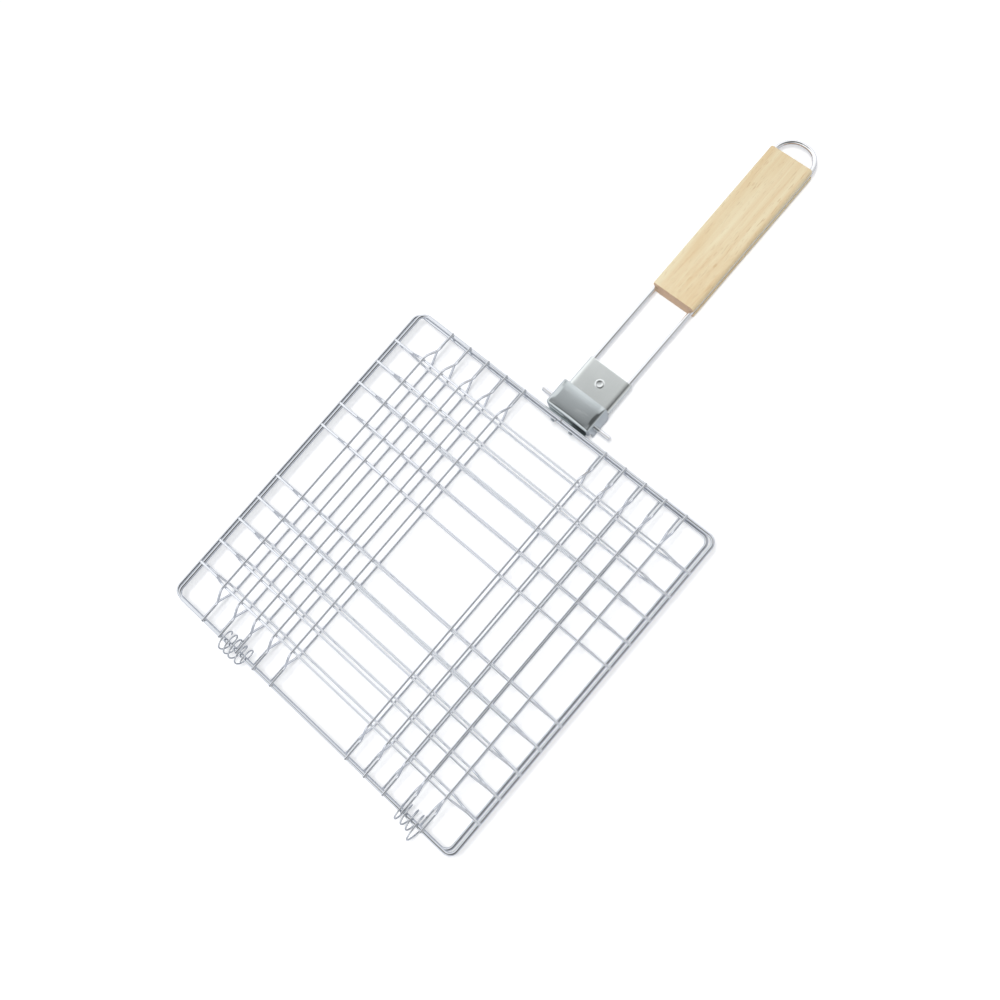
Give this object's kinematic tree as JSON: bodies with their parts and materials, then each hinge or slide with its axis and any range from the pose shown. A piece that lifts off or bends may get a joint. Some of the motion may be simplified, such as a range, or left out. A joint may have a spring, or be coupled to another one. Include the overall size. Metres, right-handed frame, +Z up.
{
  "type": "hinged wire grill basket",
  "caption": "Flat square grill basket of two welded wire mesh panels joined by wire coil hinges, with a folding wire handle, lock sleeve and wooden grip.",
  "frame": {"origin": "on the surface that the basket stands on, under the middle of the whole object's footprint with the handle extended", "axes": "+Y from the basket to the handle's loop, +Z up, X along the hinge"},
  "size_m": [0.3064, 0.6062, 0.0334],
  "materials": {
    "wire": "bright plated steel wire",
    "sheet": "plated sheet, fine brush lines",
    "rivet": "plated, dished head",
    "grip": "plain pale beech, fine pores"
  },
  "bodies": {
    "basket": {"bottom_frame": "wire", "bottom_long_wire_1": "wire", "bottom_long_wire_2": "wire", "bottom_long_wire_3": "wire", "bottom_long_wire_4": "wire", "bottom_long_wire_5": "wire", "bottom_long_wire_6": "wire", "bottom_long_wire_7": "wire", "bottom_long_wire_8": "wire", "bottom_long_wire_9": "wire", "bottom_long_wire_10": "wire", "bottom_cross_wire_1": "wire", "bottom_cross_wire_2": "wire", "bottom_cross_wire_3": "wire", "bottom_cross_wire_4": "wire", "bottom_cross_wire_5": "wire", "bottom_cross_wire_6": "wire", "bottom_cross_wire_7": "wire", "bottom_cross_wire_8": "wire", "bottom_cross_wire_9": "wire", "bottom_cross_wire_10": "wire", "hinge_coil_left": "wire", "hinge_coil_right": "wire", "handle_bracket": "sheet"},
    "lid": {"top_frame": "wire", "top_long_wire_1": "wire", "top_long_wire_2": "wire", "top_long_wire_3": "wire", "top_long_wire_4": "wire", "top_long_wire_5": "wire", "top_long_wire_6": "wire", "top_long_wire_7": "wire", "top_long_wire_8": "wire", "top_long_wire_9": "wire", "top_long_wire_10": "wire", "top_cross_wire_1": "wire", "top_cross_wire_2": "wire", "top_cross_wire_3": "wire", "top_cross_wire_4": "wire", "top_cross_wire_5": "wire", "top_cross_wire_6": "wire", "top_cross_wire_7": "wire", "top_cross_wire_8": "wire", "top_cross_wire_9": "wire", "top_cross_wire_10": "wire"},
    "handle": {"handle_wire": "wire", "wooden_grip": "grip"},
    "sleeve": {"lock_sleeve": "sheet", "sleeve_rivet": "rivet"}
  },
  "joints": [
    {"name": "lid_hinge", "type": "hinge", "parent": "basket", "child": "lid", "pos_m": [0.0034, -0.29645, 0.01668], "axis": [1, 0, 0], "range_deg": [0, 180]},
    {"name": "handle_fold", "type": "hinge", "parent": "basket", "child": "handle", "pos_m": [0.0034, 0.01695, 0.0088], "axis": [1, 0, 0], "range_deg": [-165, 0]},
    {"name": "sleeve_slide", "type": "slide", "parent": "handle", "child": "sleeve", "axis": [0, 1, 0], "range_m": [0, 0.075]}
  ]
}
